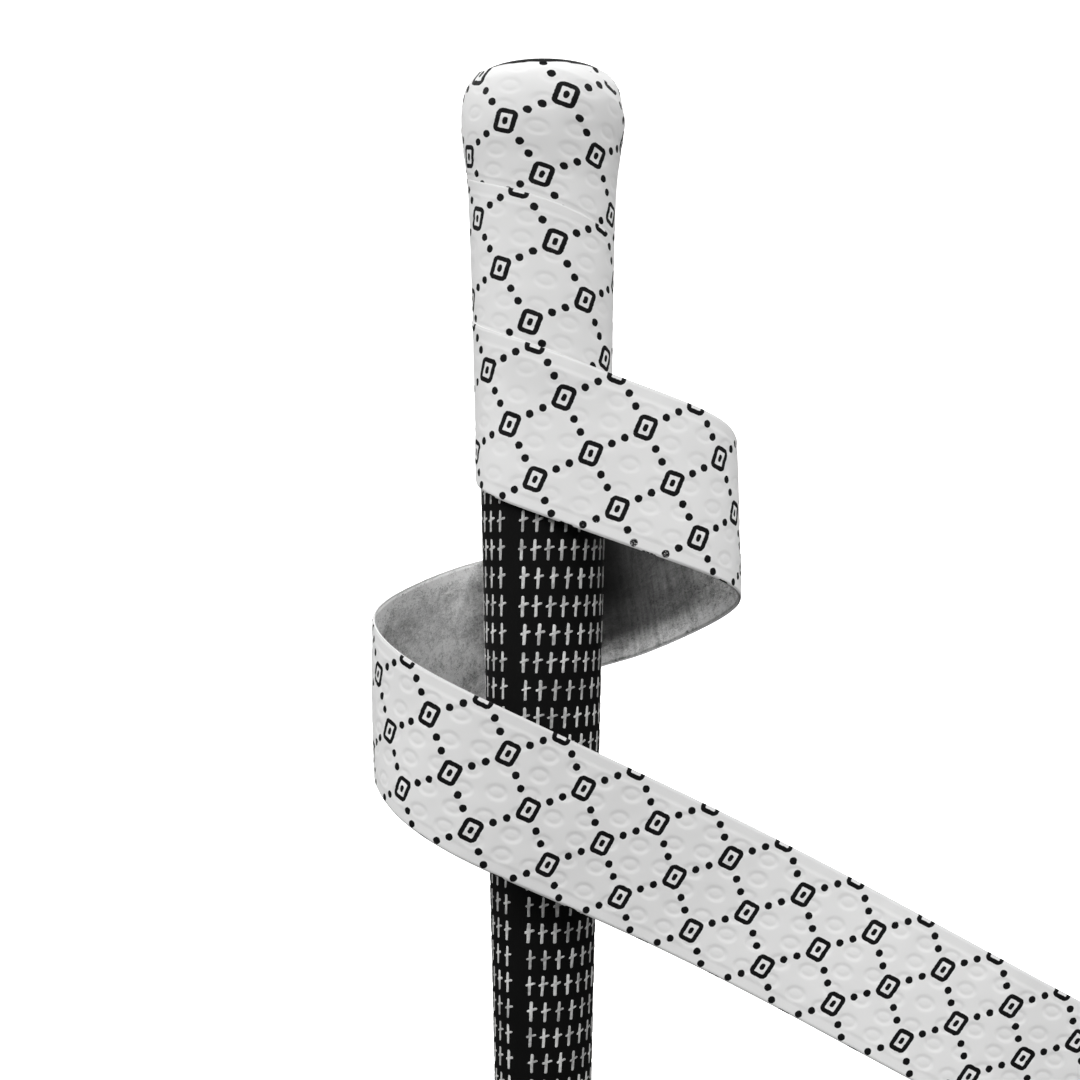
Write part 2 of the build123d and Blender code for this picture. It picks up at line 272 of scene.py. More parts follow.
def ext(x, xs, ys):
    """Linear interpolation that runs on straight past both ends."""
    y = np.interp(x, xs, ys)
    y = np.where(x < xs[0], ys[0] + (x - xs[0]) * (ys[1] - ys[0]) / (xs[1] - xs[0]), y)
    return np.where(x > xs[-1], ys[-1] + (x - xs[-1]) * (ys[-1] - ys[-2]) / (xs[-1] - xs[-2]), y)


def loose_outer(u, v):
    al = np.interp(u, UF, _al)
    w = v - W / 2
    s = np.interp(u, UF, LS) - w * np.sin(al)
    z = np.interp(u, UF, LZ) - w * np.cos(al)
    # the lower half hangs a little longer on the far side of the loop
    z = z - 4.3 * step(96, 142, u) * (1 - step(170, 200, u)) * step(0.30, 1.0, v / W)
    x, y = ext(s, LS, LX), ext(s, LS, LY)
    rx, ry, zc = np.interp(s, LS, _rx), np.interp(s, LS, _ry), ext(s, LS, LZ)
    return np.stack([x + rx * (z - zc), y + ry * (z - zc), z], -1)


def loose_surface(u, v, depth):
    e = 0.4
    du = loose_outer(u + e, v) - loose_outer(u - e, v)
    dv = loose_outer(u, v + e) - loose_outer(u, v - e)
    n = np.cross(dv, du)
    n /= np.linalg.norm(n, axis=-1, keepdims=True)
    p = loose_outer(u, v)
    # a soft tape is never quite flat: slow waves of a few tenths of a millimetre
    free = step(30, 90, u)
    wave = free * (0.10 * smooth_noise(u, v, 19.0, 11) + 0.05 * smooth_noise(u, v, 8.0, 12))
    return p + n * (wave - depth)[..., None]


def tape_surface(u, v, depth):
    u, v, depth = np.broadcast_arrays(np.asarray(u, float), np.asarray(v, float), np.asarray(depth, float))
    s = step(-19, -2, u)[..., None]
    a = wound_surface(np.minimum(u, 20.0), v, depth)
    b = loose_surface(np.maximum(u, -19.5), v, depth)
    p = a * (1 - s) + b * s
    # where the tape lifts off, its upper strip still rides on the turn before
    p[..., 1] -= 0.42 * step(-32, -15, u) * (1 - step(-2, 12, u)) * (1 - step(2.0, 8.0, v))
    return p


def top_trim(u):
    """v of the trimmed upper edge, where the tape passes over the cap's shoulder."""
    t = turn_at(u)
    lc = length_at(wound_centre(t))
    return np.clip((lc - L_RIM) / np.cos(slant_at(t)) / narrow_at(t) + W / 2, 0.0, W - 0.8)


# ------------------------------------------------------------------ mesh helpers
def tidy(name, verts, faces, uv=None, smooth=None):
    me = bpy.data.meshes.new(name)
    verts = np.asarray(verts, np.float32) * MM
    faces = np.asarray(faces, np.int32)
    me.vertices.add(len(verts))
    me.vertices.foreach_set("co", verts.ravel())
    k = faces.shape[1]
    me.loops.add(faces.size)
    me.loops.foreach_set("vertex_index", faces.ravel())
    me.polygons.add(len(faces))
    me.polygons.foreach_set("loop_start", np.arange(0, faces.size, k, dtype=np.int32))
    me.polygons.foreach_set("use_smooth", np.ones(len(faces), bool) if smooth is None else smooth)
    me.update(calc_edges=True)
    if uv is not None:
        lay = me.uv_layers.new(name="tape_mm")
        lay.data.foreach_set("uv", (np.asarray(uv, np.float32)[faces.ravel()] / 100.0).ravel())
    me.validate()
    ob = bpy.data.objects.new(name, me)
    bpy.context.collection.objects.link(ob)
    return ob


def ring_faces(n, m, closed=True):
    """Quads of n rings with m points each."""
    i = np.arange(n - 1)[:, None] * m
    j = np.arange(m if closed else m - 1)[None, :]
    a, b = i + j, i + (j + 1) % m
    return np.stack([a, b, b + m, a + m], -1).reshape(-1, 4)


def ribbon(name, u0, u1, outer, inner, v_in, nv, nu_step, depth_out, close_v):
    """Closed thin solid of one ply. outer and inner (lists of share of width, depth) are not used."""
    n = max(int(round((u1 - u0) / nu_step)), 2) + 1
    us = np.concatenate([[u0], np.linspace(u0 + 0.004, u1 - 0.004, n - 2), [u1]])
    top = top_trim(us) if u0 < -60 else np.zeros(n)
    prof = close_v                                  # (m, 2): share of width 0..1, depth, edge inset
    f, dep, inset = prof[:, 0], prof[:, 1], prof[:, 2]
    lo, hi = top[:, None], np.full((n, 1), W)
    v = lo + (hi - lo) * f[None, :] + inset[None, :]
    u = np.repeat(us[:, None], len(f), 1)
    d = np.repeat(dep[None, :], n, 0)
    outside = prof[:, 3] > 0.5
    if depth_out:
        d = np.where(outside[None, :], tape_depth(u, v), d)
    else:
        d = d + 0.03 * smooth_noise(u, v, 1.3, 21) * (prof[:, 4] > 0.5)[None, :] + 0.03 * smooth_noise(u, v, 4.1, 22) * (prof[:, 4] > 0.5)[None, :]
    pts = tape_surface(u, v, d)
    m = len(f)
    faces = ring_faces(n, m)
    verts = pts.reshape(-1, 3)
    # the hidden side lies far off the printed strip of the texture plane
    away = np.where(outside, 0.0, np.where(f > 0.5, 60.0, -60.0)) if depth_out else np.zeros(len(f))
    uv = np.stack([u, v + away[None, :]], -1).reshape(-1, 2)
    # end caps: flat quads across the thin section, so that the long sides stay smooth up to the cut
    ends = []
    half = m // 2
    for base in (0, (n - 1) * m):
        for k in range(half - 1):
            a, b = base + k, base + k + 1
            c, e = base + (m - 2 - k) % m, base + (m - 1 - k) % m
            ends.append([a, b, c, e] if base else [e, c, b, a])
    # cut edges and lips are flat-shaded too, so that they don't drag the light on the broad sides
    smooth = np.ones((n - 1, m), bool)
    smooth[:, [half - 1, half, half + 1, m - 3, m - 2, m - 1] if depth_out else [half - 1, m - 1]] = False
    smooth = np.concatenate([smooth.ravel(), np.zeros(len(ends), bool)])
    faces = np.concatenate([faces, np.array(ends)])
    return tidy(name, verts, faces, uv, smooth)


def face_profile(nv):
    """Section of the face ply: printed side, a lip round each edge, hidden side."""
    rows = []
    e = np.array([0.0, 0.05, 0.12, 0.22, 0.36, 0.55])
    share = np.concatenate([e / W, np.linspace(0.8 / W, 1 - 0.8 / W, nv), 1 - e[::-1] / W])
    for s in share:
        rows.append((s, 0.0, 0.0, 1, 0))
    # back: from the lower edge to the upper edge, as many points as the printed side
    n = len(share)
    back = np.linspace(1, 0, n)
    for k, s in enumerate(back):
        lip = k == 0 or k == n - 1
        if k == 0:
            rows.append((1.0, T_TAPE - 0.04, -0.02, 0, 0))
        elif k == 1:
            rows.append((1.0, T_TAPE - 0.02, -0.28, 0, 0))
        elif k == 2:
            rows.append((1.0, 0.30, -0.34, 0, 0))
        elif k == n - 3:
            rows.append((0.0, 0.30, 0.34, 0, 0))
        elif k == n - 2:
            rows.append((0.0, T_TAPE - 0.02, 0.28, 0, 0))
        elif k == n - 1:
            rows.append((0.0, T_TAPE - 0.04, 0.02, 0, 0))
        else:
            rows.append((1 - (k - 2) / (n - 5) * 1.0, 0.30, -0.34 + 0.68 * (k - 2) / (n - 5), 0, 0))
    return np.array(rows)


def felt_profile(nv):
    rows = []
    share = np.linspace(0, 1, nv)
    for k, s in enumerate(share):
        rows.append((s, 0.31, 0.30 - 0.60 * s, 0, 0))
    for k, s in enumerate(share[::-1]):
        rows.append((s, T_TAPE, 0.30 - 0.60 * s, 0, 1 if 0 < k < nv - 1 else 0))
    return np.array(rows)


FACE_P = face_profile(82)
FELT_P = felt_profile(44)
spans = {"wound": (U_START, 0.0), "loop": (0.0, U_CUT), "tail": (U_CUT, U_END)}
pieces = {}
for key, (a, b) in spans.items():
    pieces[key + "_face"] = ribbon("overgrip_face_" + key, a, b, None, None, None, None, RINGS, True, FACE_P)
    pieces[key + "_felt"] = ribbon("overgrip_felt_" + key, a, b, None, None, None, None, 0.6, False, FELT_P)

# ------------------------------------------------------------------ sleeve and cap
def turned(name, outline, seg=256, closed=True):
    """Solid of revolution of an (r, z) outline."""
    o = np.asarray(outline, float)
    m = len(o)
    a = np.linspace(0, 2 * math.pi, seg, endpoint=False)
    v = np.stack([o[None, :, 0] * np.sin(a)[:, None], -o[None, :, 0] * np.cos(a)[:, None], np.repeat(o[None, :, 1], seg, 0)], -1)
    i, j = np.arange(seg)[:, None], np.arange(m if closed else m - 1)[None, :]
    i2, j2 = (i + 1) % seg, (j + 1) % m
    f = np.stack([i * m + j, i2 * m + j, i2 * m + j2, i * m + j2], -1).reshape(-1, 4)
    return tidy(name, v.reshape(-1, 3), f)


def arc(cx, cz, r, a0, a1, n=6):
    t = np.radians(np.linspace(a0, a1, n))
    return [(cx + r * math.cos(x), cz + r * math.sin(x)) for x in t]


wall = [(float(bare_radius(z)), float(z)) for z in np.concatenate([np.arange(0.8, 240, 2.0), np.arange(240, 258.9, 0.5)])]
sleeve_outline = (
    arc(8.42 - 0.6, 0.6, 0.6, -90, 0) + wall + [(12.98, 258.75), (12.85, 258.95), (12.6, 258.98)]
    + [(8.0, 258.98), (8.0, 256.0), (7.1, 256.0)] + [(7.1, z) for z in np.arange(250, 0.6, -10.0)]
    + arc(7.1 + 0.4, 0.4, 0.4, 180, 270, 5)
)
sleeve = turned("sleeve_body", sleeve_outline)
dome = [(float(r), float(z)) for r, z in zip(PR, PZ) if z > 259.35]
cap_outline = (
    [(12.55, 259.02), (12.85, 259.06), (12.99, 259.25)] + dome + [(5.9, 267.0)]
    + arc(5.6, 266.7, 0.3, 80, 20, 4) + [(5.2, 266.55), (4.7, 266.5), (3.2, 266.5), (2.2, 266.48)]
    + arc(1.75, 266.03, 0.45, 90, 180, 5)
    + [(1.3, 264.0), (1.3, 258.0), (1.3, 256.05), (1.5, 256.0), (7.6, 256.0), (7.96, 256.3), (7.96, 259.0), (9.0, 259.0)]
)
cap = turned("cap_body", cap_outline, seg=192)

# ------------------------------------------------------------------ paint-filled marks
# A mark is an upright stroke with a short slanted bar: (outline in mm, x right, y up from the foot)


def mark_outline(lean, tall, bar, blob, wob):
    s = 0.265 + blob * 0.06
    x = lambda y: lean * y
    yb = tall * 0.56
    b0, b1 = -0.66 * bar, 0.98 * bar
    k = 0.30
    g = 0.19 + blob * 0.05
    pts = [
        (x(0) - s * 0.9, 0.10), (x(0) - s * 0.5, 0.0), (x(0) + s * 0.6, 0.02), (x(0) + s, 0.16),
        (x(yb) + s, yb - g + 0.02 + k * s),
        (x(yb) + b1, yb - g + k * b1), (x(yb) + b1 + 0.10, yb + k * b1 + 0.02), (x(yb) + b1 - 0.04, yb + g + k * b1),
        (x(yb) + s, yb + g + k * s),
        (x(tall) + s * 0.95, tall - 0.22), (x(tall) + s * 0.5, tall - 0.02), (x(tall) - s * 0.5, tall), (x(tall) - s * 0.95, tall - 0.16),
        (x(yb) - s, yb + g - k * s),
        (x(yb) + b0, yb + g + k * b0), (x(yb) + b0 - 0.10, yb + k * b0 - 0.03), (x(yb) + b0 + 0.05, yb - g + k * b0),
        (x(yb) - s, yb - g - k * s),
    ]
    p = np.array(pts)
    return p + wob * rng.standard_normal(p.shape)


def soften(p, r):
    """Each corner becomes two points, at most r away from it."""
    a, b = np.roll(p, 1, 0) - p, np.roll(p, -1, 0) - p
    la, lb = np.linalg.norm(a, axis=1, keepdims=True), np.linalg.norm(b, axis=1, keepdims=True)
    return np.stack([p + a / la * np.minimum(r, 0.3 * la), p + b / lb * np.minimum(r, 0.3 * lb)], 1).reshape(-1, 2)


MARK_ROWS = []
z = 185.35 + 4.81 * 14
row = -14
while z > 8:
    MARK_ROWS.append((row, z))
    row += 1
    z -= 4.81
verts, faces3, base = [], [], 0
for row, z0 in MARK_ROWS:
    if z0 + 3.9 > 252 or z0 < 7.0:
        continue
    kind = row % 2
    pitch = 2.30 if kind == 0 else 2.52
    r_mid = float(bare_radius(z0 + 1.8))
    a_start = math.radians(-20.8 if kind == 0 else -19.4) + (math.radians(5.0) * (185 - z0) / 77 if z0 < 185 else 0)
    a_end = math.radians(360 - 43.6)
    count = int((a_end - a_start) * r_mid / pitch)
    step_a = (a_end - a_start) / count
    for c in range(count + 1):
        a0 = a_start + c * step_a + rng.normal(0, 0.0025)
        blob = max(0.0, rng.normal(0.1, 0.45))
        p = soften(np.roll(mark_outline(0.045 + rng.normal(0, 0.012), 3.70 + rng.normal(0, 0.06), 1.0 + rng.normal(0, 0.06), blob, 0.022), -2, 0), 0.09)
        # a fan of rings: edge in the rubber, shoulder, crown
        mid = p.mean(0)
        spine = np.stack([np.interp(p[:, 1], [0, 3.7], [0.02, 0.16]), p[:, 1]], 1)
        inner = p + (spine - p) * 0.30
        n = len(p)
        layers = [(p, -0.10), (p, 0.045), (inner, 0.085)]
        for q, h in layers:
            a = a0 + q[:, 0] / r_mid
            zz = z0 + np.clip(q[:, 1], -1, 5)
            rr = bare_radius(zz) + h
            verts.append(np.stack([rr * np.sin(a), -rr * np.cos(a), zz], -1))
        for k in (0, 1):
            i = base + k * n + np.arange(n)
            j = base + k * n + (np.arange(n) + 1) % n
            faces3.append(np.stack([i, j, j + n, i + n], -1))
        # close the crown with quads folded across the spine, low to high
        top = base + 2 * n
        # the outline runs up the right side and down the left side, so pair them
        half = n // 2
        pairs = [(k, n - 1 - k) for k in range(half)]
        for (a1, b1), (a2, b2) in zip(pairs, pairs[1:]):
            faces3.append(np.array([[top + a1, top + a2, top + b2, top + b1]]))
        base += 3 * n
infill = tidy("mark_infill", np.concatenate(verts), np.concatenate(faces3))


# ------------------------------------------------------------------ materials
class Nodes:
    """Short names for building a node tree."""

    def __init__(self, name):
        self.mat = bpy.data.materials.new(name)
        self.mat.use_nodes = True
        self.t = self.mat.node_tree
        self.t.nodes.clear()
        self.out = self.t.nodes.new("ShaderNodeOutputMaterial")
        self.bsdf = self.t.nodes.new("ShaderNodeBsdfPrincipled")
        self.t.links.new(self.bsdf.outputs[0], self.out.inputs[0])

    def put(self, sock, val):
        if isinstance(val, bpy.types.NodeSocket):
            self.t.links.new(val, sock)
        elif val is not None:
            sock.default_value = val

    def m(self, op, a=None, b=None, c=None, clamp=False):
        n = self.t.nodes.new("ShaderNodeMath")
        n.operation = op
        n.use_clamp = clamp
        for s, v in zip(n.inputs, (a, b, c)):
            self.put(s, v)
        return n.outputs[0]

    def ramp(self, x, a, b, lo=0.0, hi=1.0):
        n = self.t.nodes.new("ShaderNodeMapRange")
        n.interpolation_type = "SMOOTHSTEP"
        n.clamp = True
        for s, v in zip(n.inputs, (x, a, b, lo, hi)):
            self.put(s, v)
        return n.outputs[0]

    def noise(self, vec, scale, detail=3.0, rough=0.5, dist=0.0):
        n = self.t.nodes.new("ShaderNodeTexNoise")
        self.put(n.inputs["Vector"], vec)
        n.inputs["Scale"].default_value = scale
        n.inputs["Detail"].default_value = detail
        n.inputs["Roughness"].default_value = rough
        n.inputs["Distortion"].default_value = dist
        return n.outputs["Fac"]

    def mix(self, f, a, b):
        n = self.t.nodes.new("ShaderNodeMix")
        n.data_type = "RGBA"
        self.put(n.inputs[0], f)
        self.put(n.inputs[6], a)
        self.put(n.inputs[7], b)
        return n.outputs[2]

    def vec(self, x, y, z=0.0):
        n = self.t.nodes.new("ShaderNodeCombineXYZ")
        for s, v in zip(n.inputs, (x, y, z)):
            self.put(s, v)
        return n.outputs[0]

    def bump(self, h, dist, strength=1.0, prev=None):
        n = self.t.nodes.new("ShaderNodeBump")
        n.inputs["Strength"].default_value = strength
        n.inputs["Distance"].default_value = dist
        self.put(n.inputs["Height"], h)
        if prev is not None:
            self.t.links.new(prev, n.inputs["Normal"])
        return n.outputs[0]

    def obj(self):
        return self.t.nodes.new("ShaderNodeTexCoord").outputs["Object"]


def grey(v, a=1.0, warm=0.0):
    return (v + warm, v, v - warm, a)


def face_material():
    k = Nodes("printed_polyurethane")
    uvn = k.t.nodes.new("ShaderNodeUVMap")
    uvn.uv_map = "tape_mm"
    sep = k.t.nodes.new("ShaderNodeSeparateXYZ")
    k.t.links.new(uvn.outputs[0], sep.inputs[0])
    u0 = k.m("MULTIPLY", sep.outputs[0], 100.0)
    v0 = k.m("MULTIPLY", sep.outputs[1], 100.0)
    tape = k.vec(u0, v0)
    # ink edges wander a little
    wob = k.noise(tape, 1.7, 2.0)
    wob2 = k.noise(k.vec(v0, u0, 5.0), 1.7, 2.0)
    u = k.m("ADD", u0, k.m("MULTIPLY", k.m("SUBTRACT", wob, 0.5), 0.22))
    v = k.m("ADD", v0, k.m("MULTIPLY", k.m("SUBTRACT", wob2, 0.5), 0.22))
    a = k.m("DIVIDE", k.m("SUBTRACT", u, U0), PU)
    b = k.m("DIVIDE", k.m("SUBTRACT", v, V0), PV)
    x = k.m("MULTIPLY", k.m("SUBTRACT", a, k.m("ROUND", a)), PU)
    y = k.m("MULTIPLY", k.m("SUBTRACT", b, k.m("ROUND", b)), PV)
    ax, ay = k.m("ABSOLUTE", x), k.m("ABSOLUTE", y)
    x2 = k.m("SUBTRACT", x, k.m("MULTIPLY", k.m("SIGN", x), PU / 2))
    y2 = k.m("SUBTRACT", y, k.m("MULTIPLY", k.m("SIGN", y), PV / 2))

    def length(p, q):
        return k.m("SQRT", k.m("ADD", k.m("MULTIPLY", p, p), k.m("MULTIPLY", q, q)))

    def emblem(p, q):
        """Signed distance of a leaning rounded ring with a short bar inside."""
        p = k.m("ADD", p, k.m("MULTIPLY", q, 0.07))
        r = 0.95
        qx = k.m("SUBTRACT", k.m("ABSOLUTE", p), 1.70 - r)
        qy = k.m("SUBTRACT", k.m("ABSOLUTE", q), 2.05 - r)
        d = length(k.m("MAXIMUM", qx, 0.0), k.m("MAXIMUM", qy, 0.0))
        d = k.m("SUBTRACT", k.m("ADD", d, k.m("MINIMUM", k.m("MAXIMUM", qx, qy), 0.0)), r)
        ring = k.m("SUBTRACT", k.m("ABSOLUTE", k.m("ADD", d, 0.40)), 0.40)
        bar = k.m("SUBTRACT", length(p, k.m("MAXIMUM", k.m("SUBTRACT", k.m("ABSOLUTE", q), 0.25), 0.0)), 0.40)
        return k.m("MINIMUM", ring, bar)

    def dot(cx, cy):
        return k.m("SUBTRACT", length(k.m("SUBTRACT", ax, cx), k.m("SUBTRACT", ay, cy)), 0.66)

    d = k.m("MINIMUM", emblem(x, y), emblem(x2, y2))
    d = k.m("MINIMUM", d, k.m("MINIMUM", dot(2.82, 2.72), dot(4.56, 4.36)))
    ink = k.ramp(d, -0.035, 0.035, 1.0, 0.0)
    # ink is rubbed thin in places, most of all near the lower edge where the first dots meet the thumb
    fine = k.noise(tape, 3.2, 4.0, 0.65)
    patch = k.noise(tape, 0.16, 2.0)
    low = k.ramp(v0, 22.6, 24.4)
    here = k.m("MULTIPLY", k.ramp(u0, 9.0, 13.0), k.ramp(u0, 27.0, 31.0, 1.0, 0.0))
    rub = k.m("MULTIPLY", low, here)
    thin = k.m("ADD", k.m("MULTIPLY", rub, 0.17), k.m("MULTIPLY", k.ramp(patch, 0.52, 0.78), 0.07))
    worn = k.ramp(fine, k.m("SUBTRACT", 0.70, thin), k.m("SUBTRACT", 0.80, thin), 1.0, 0.35)
    ink = k.m("MULTIPLY", ink, worn)
    side = k.m("MULTIPLY", k.m("GREATER_THAN", v0, -0.01), k.m("LESS_THAN", v0, W + 0.01))
    ink = k.m("MULTIPLY", ink, side)
    tone = k.noise(tape, 0.09, 3.0, 0.5)
    white = k.mix(tone, (0.775, 0.775, 0.772, 1), (0.835, 0.835, 0.832, 1))
    # painted shade: the white greys towards both cut edges of the printed side, so that the lit lips look no brighter
    # than the broad side
    edge = k.m("MINIMUM", v0, k.m("SUBTRACT", W, v0))
    white = k.mix(k.m("MULTIPLY", k.ramp(edge, 0.05, 0.50, 0.75, 0.0), k.ramp(edge, -2.5, -0.3)), white, (0.62, 0.62, 0.62, 1))
    black = k.mix(fine, (0.0035, 0.0035, 0.004, 1), (0.010, 0.010, 0.0105, 1))
    k.put(k.bsdf.inputs["Base Color"], k.mix(ink, white, black))
    k.put(k.bsdf.inputs["Roughness"], k.m("ADD", k.m("MULTIPLY", ink, -0.10), k.m("MULTIPLY_ADD", fine, 0.10, 0.50)))
    k.bsdf.inputs["Specular IOR Level"].default_value = 0.07
    grain = k.noise(tape, 2.6, 5.0, 0.6)
    h = k.bump(grain, 0.00002, 0.35)
    h = k.bump(ink, 0.00001, 0.5, h)
    k.put(k.bsdf.inputs["Normal"], h)
    return k.mat


def felt_material():
    k = Nodes("grey_needle_felt")
    uvn = k.t.nodes.new("ShaderNodeUVMap")
    uvn.uv_map = "tape_mm"
    mul = k.t.nodes.new("ShaderNodeVectorMath")
    mul.operation = "SCALE"
    k.t.links.new(uvn.outputs[0], mul.inputs[0])
    mul.inputs["Scale"].default_value = 100.0
    p = mul.outputs[0]
    sx = k.t.nodes.new("ShaderNodeSeparateXYZ")
    k.t.links.new(p, sx.inputs[0])
    fu, fv = sx.outputs[0], sx.outputs[1]
    lay = k.vec(k.m("MULTIPLY", fu, 0.45), fv)          # the fibres lie mostly along the tape
    big = k.noise(lay, 0.20, 3.0, 0.55, 0.4)
    mid = k.noise(lay, 0.72, 4.0, 0.62, 1.0)
    fib = k.noise(lay, 3.4, 3.0, 0.7, 1.2)
    # felt tone with painted light: brighter towards the lower edge, against the shade of the turn in front, and a
    # painted highlight along the upper rim; one stretch carries painted shade, most of all along its upper half
    felt_painted_light = k.m("ADD", k.ramp(fv, 5.0, 20.0, 0.60, 0.92), k.ramp(fv, 0.8, 6.0, 0.44, 0.0))
    # painted shade of that stretch, where the grip and the turn in front shade the felt: darkest along its upper
    # half, lighter again towards the lower rim
    painted_shade_tone = k.m("ADD", k.ramp(fu, 68.0, 98.0, 0.15, 0.004), k.m("ADD", k.ramp(fv, 10.0, 21.0, 0.0, 0.045), k.ramp(fv, 19.8, 25.9, 0.0, 0.72)))
    # mask of the stretch that carries the painted shade
    painted_shade_mask = k.m("MULTIPLY", k.ramp(fu, 52.0, 72.0), k.ramp(fu, 118.0, 142.0, 1.0, 0.0))
    v = k.m("ADD", k.m("MULTIPLY", felt_painted_light, k.m("SUBTRACT", 1.0, painted_shade_mask)), k.m("MULTIPLY", painted_shade_tone, painted_shade_mask))
    mott = k.m("ADD", k.m("MULTIPLY", k.m("SUBTRACT", big, 0.5), 1.5), k.m("ADD", k.m("MULTIPLY", k.m("SUBTRACT", mid, 0.5), 1.5), k.m("MULTIPLY", k.m("SUBTRACT", fib, 0.5), 2.2)))
    # painted light and shade of folds: streaks across the tape's width, only in the painted-shade stretch
    painted_fold_streaks = k.noise(k.vec(k.m("MULTIPLY", fu, 0.62), k.m("MULTIPLY", fv, 0.09)), 1.0, 3.0, 0.6, 0.3)
    mott = k.m("ADD", mott, k.m("MULTIPLY", painted_shade_mask, k.m("MULTIPLY_ADD", painted_fold_streaks, 1.8, -0.9)))
    v = k.m("MULTIPLY", v, k.m("MAXIMUM", k.m("ADD", mott, 1.0), 0.25))
    col = k.mix(k.m("MAXIMUM", k.m("MINIMUM", v, 1.0), 0.0), (0.0, 0.0, 0.0, 1), (0.96, 0.96, 0.955, 1))
    k.put(k.bsdf.inputs["Base Color"], col)
    k.bsdf.inputs["Roughness"].default_value = 0.95
    k.bsdf.inputs["Specular IOR Level"].default_value = 0.12
    k.bsdf.inputs["Sheen Weight"].default_value = 0.16
    k.bsdf.inputs["Sheen Roughness"].default_value = 0.4
    h = k.bump(k.m("ADD", fib, k.m("MULTIPLY", mid, 0.6)), 0.00009, 0.8)
    k.put(k.bsdf.inputs["Normal"], h)
    return k.mat


def rubber_material(name, lo, hi, rough):
    k = Nodes(name)
    p = k.obj()
    n1, n2 = k.noise(p, 900.0, 4.0, 0.6), k.noise(p, 120.0, 3.0, 0.5)
    k.put(k.bsdf.inputs["Base Color"], k.mix(n2, grey(lo), grey(hi)))
    k.put(k.bsdf.inputs["Roughness"], k.m("MULTIPLY_ADD", n2, 0.14, rough))
    k.bsdf.inputs["Specular IOR Level"].default_value = 0.07
    k.put(k.bsdf.inputs["Normal"], k.bump(n1, 0.00004, 0.35))
    return k.mat


def infill_material():
    k = Nodes("paint_infill")
    p = k.obj()
    n1, n2 = k.noise(p, 1500.0, 4.0, 0.65), k.noise(p, 260.0, 3.0, 0.55)
    v = k.m("ADD", k.m("MULTIPLY", k.ramp(n1, 0.30, 0.68), 0.45), k.m("MULTIPLY", k.ramp(n2, 0.34, 0.62), 0.55))
    k.put(k.bsdf.inputs["Base Color"], k.mix(v, (0.26, 0.26, 0.26, 1), (0.74, 0.74, 0.73, 1)))
    k.bsdf.inputs["Roughness"].default_value = 0.6
    k.bsdf.inputs["Specular IOR Level"].default_value = 0.3
    k.put(k.bsdf.inputs["Normal"], k.bump(n1, 0.00003, 0.5))
    return k.mat


def tab_material():
    k = Nodes("adhesive_film")
    p = k.obj()
    n1 = k.noise(p, 300.0, 3.0, 0.5)
    k.put(k.bsdf.inputs["Base Color"], k.mix(n1, (0.66, 0.60, 0.46, 1), (0.80, 0.76, 0.64, 1)))
    k.put(k.bsdf.inputs["Roughness"], k.m("MULTIPLY_ADD", n1, 0.2, 0.25))
    return k.mat


MAT = {
    "face": face_material(),
    "felt": felt_material(),
    "sleeve": rubber_material("satin_black_rubber", 0.0030, 0.0055, 0.52),
    "cap": rubber_material("smooth_black_rubber", 0.009, 0.014, 0.42),
    "infill": infill_material(),
    "tab": tab_material(),
}


def dress(ob, mat):
    ob.data.materials.clear()
    ob.data.materials.append(MAT[mat])


for key in spans:
    dress(pieces[key + "_face"], "face")
    dress(pieces[key + "_felt"], "felt")
dress(sleeve, "sleeve")
dress(cap, "cap")
dress(infill, "infill")
tab = frame["nodes"]["start_tab"]
if not tab.material_slots:
    tab.data.materials.append(MAT["tab"])
for s in tab.material_slots:
    s.material = MAT["tab"]

# ------------------------------------------------------------------ what stands for what
body = list(frame["bodies"])[0]
for ob in [*pieces.values(), sleeve, cap, infill]:
    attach(ob, body)
for key in spans:
    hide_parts(key + "_face")
    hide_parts(key + "_felt")
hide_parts("grip_sleeve")
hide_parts("butt_cap")


# ------------------------------------------------------------------ floor, lights
def sweep():
    """A pale round floor that curves up into a backdrop far away on every side."""
    prof = [(r, 0.0) for r in (0.05, 0.3, 0.8, 1.3, 1.7)]
    prof += [(1.7 + 1.2 * math.sin(t), 1.2 - 1.2 * math.cos(t)) for t in np.linspace(0.1, math.pi / 2, 14)]
    prof += [(2.9, 2.2), (2.9, 3.6)]
    a = np.linspace(0, 2 * math.pi, 96, endpoint=False)
    v = np.array([(r * math.sin(t), r * math.cos(t), z) for r, z in prof for t in a]) * 1000
    n, m = len(prof), len(a)
    f = ring_faces(n, m)[:, ::-1]
    # the middle of the floor: strips across the innermost ring
    f = np.concatenate([f, np.array([[i, i + 1, m - 2 - i, m - 1 - i] for i in range(m // 2 - 1)])])
    ob = tidy("studio_sweep", v, f)
    k = Nodes("studio_paper")
    n1 = k.noise(k.obj(), 3.0, 3.0)
    k.put(k.bsdf.inputs["Base Color"], k.mix(n1, (0.93, 0.93, 0.93, 1), (0.95, 0.95, 0.95, 1)))
    k.bsdf.inputs["Roughness"].default_value = 0.9
    k.bsdf.inputs["Emission Color"].default_value = (1, 1, 1, 1)
    k.bsdf.inputs["Emission Strength"].default_value = 0.95
    ob.data.materials.append(k.mat)
    ob.visible_diffuse = False
    ob.visible_glossy = False
    ob.visible_shadow = False


sweep()


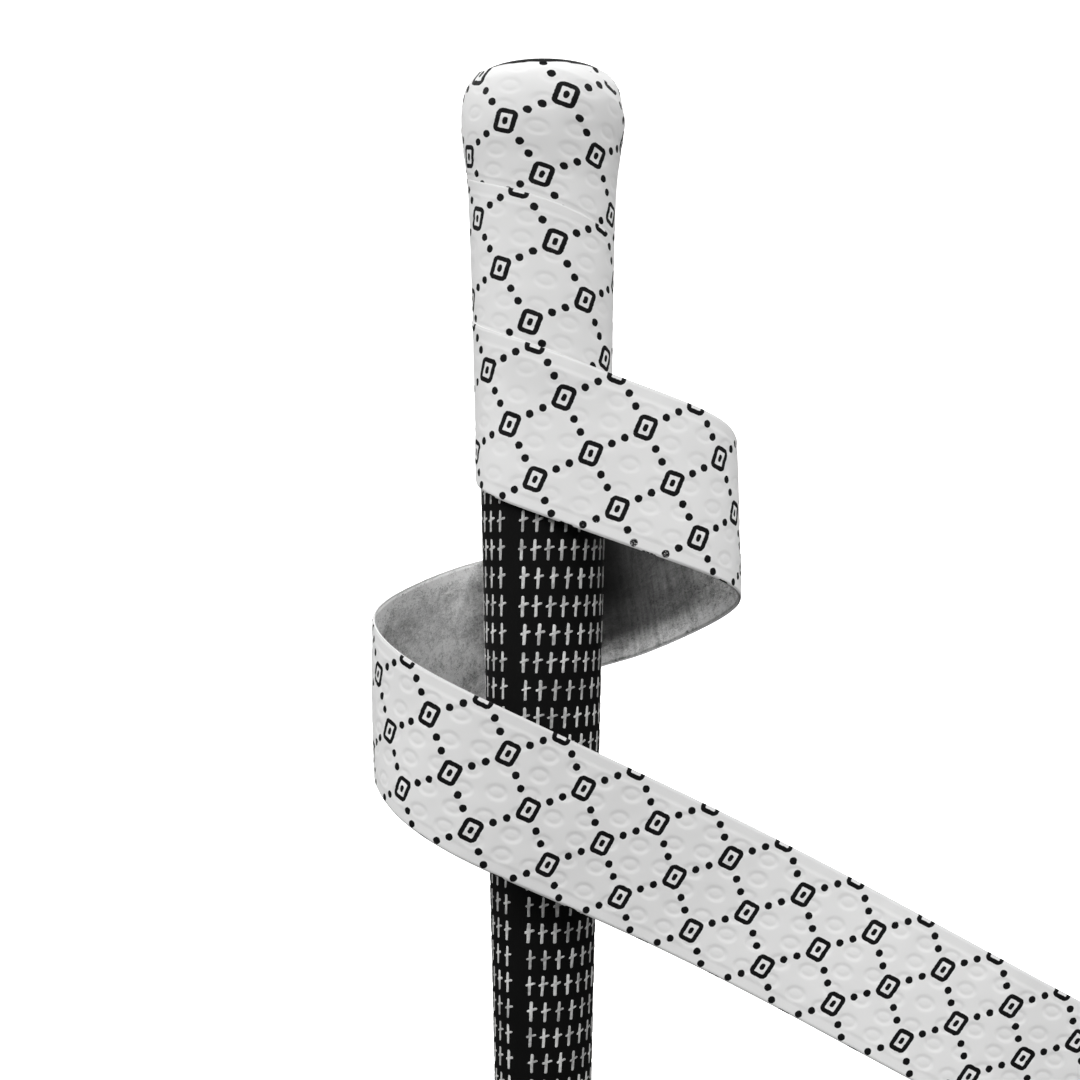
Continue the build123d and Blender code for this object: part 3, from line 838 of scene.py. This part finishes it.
def area(name, loc, target, size, power, size_y=None):
    d = bpy.data.lights.new(name, "AREA")
    d.energy = power
    d.shape = "RECTANGLE"
    d.size, d.size_y = size, size_y or size
    o = bpy.data.objects.new(name, d)
    bpy.context.collection.objects.link(o)
    o.location = loc
    v = np.array(target) - np.array(loc)
    from mathutils import Vector

    o.rotation_euler = Vector(v).to_track_quat("-Z", "Y").to_euler()
    return o


area("key_light", (-0.30, -0.72, 0.62), (0, 0, 0.19), 0.34, 1.2)
area("fill_light", (0.15, -0.9, 0.05), (0, 0, 0.17), 0.5, 0.06)
area("side_light", (0.68, -0.22, 0.90), (0, 0, 0.17), 0.5, 1.9)
area("left_light", (-0.75, -0.30, 0.32), (0, 0, 0.2), 0.4, 0.35)
area("top_light", (0.0, 0.10, 1.1), (0, 0, 0.15), 0.8, 0.12)
world = bpy.data.worlds.new("studio")
bpy.context.scene.world = world
world.use_nodes = True
wt = world.node_tree
back = wt.nodes["Background"]
direction = wt.nodes.new("ShaderNodeTexCoord")
axes = wt.nodes.new("ShaderNodeSeparateXYZ")
wt.links.new(direction.outputs["Generated"], axes.inputs[0])


def band(axis, a, b, lo, hi):
    """A smooth change of the sky's light along one axis."""
    n = wt.nodes.new("ShaderNodeMapRange")
    n.interpolation_type = "SMOOTHSTEP"
    wt.links.new(axes.outputs[axis], n.inputs[0])
    for s_, v_ in zip(list(n.inputs)[1:5], (a, b, lo, hi)):
        s_.default_value = v_
    return n.outputs[0]


def times(a, b):
    n = wt.nodes.new("ShaderNodeMath")
    n.operation = "MULTIPLY"
    for s_, v_ in zip(n.inputs, (a, b)):
        if isinstance(v_, bpy.types.NodeSocket):
            wt.links.new(v_, s_)
        else:
            s_.default_value = v_
    return n.outputs[0]


# a wide soft light wall in front, above eye level, a little brighter on the left
glow = times(band(2, 0.20, 0.48, 0.0, 1.0), band(1, -0.05, 0.85, 1.0, 0.42))
glow = times(times(glow, band(2, 0.56, 0.84, 1.0, 0.12)), band(0, -1.0, 1.0, 1.18, 0.83))
sky = wt.nodes.new("ShaderNodeMath")
sky.operation = "MULTIPLY_ADD"
wt.links.new(glow, sky.inputs[0])
sky.inputs[1].default_value = 2.95
sky.inputs[2].default_value = 0.05
back.inputs[0].default_value = (1, 1, 1, 1)
wt.links.new(sky.outputs[0], back.inputs[1])
bpy.context.scene.view_settings.view_transform = "Standard"
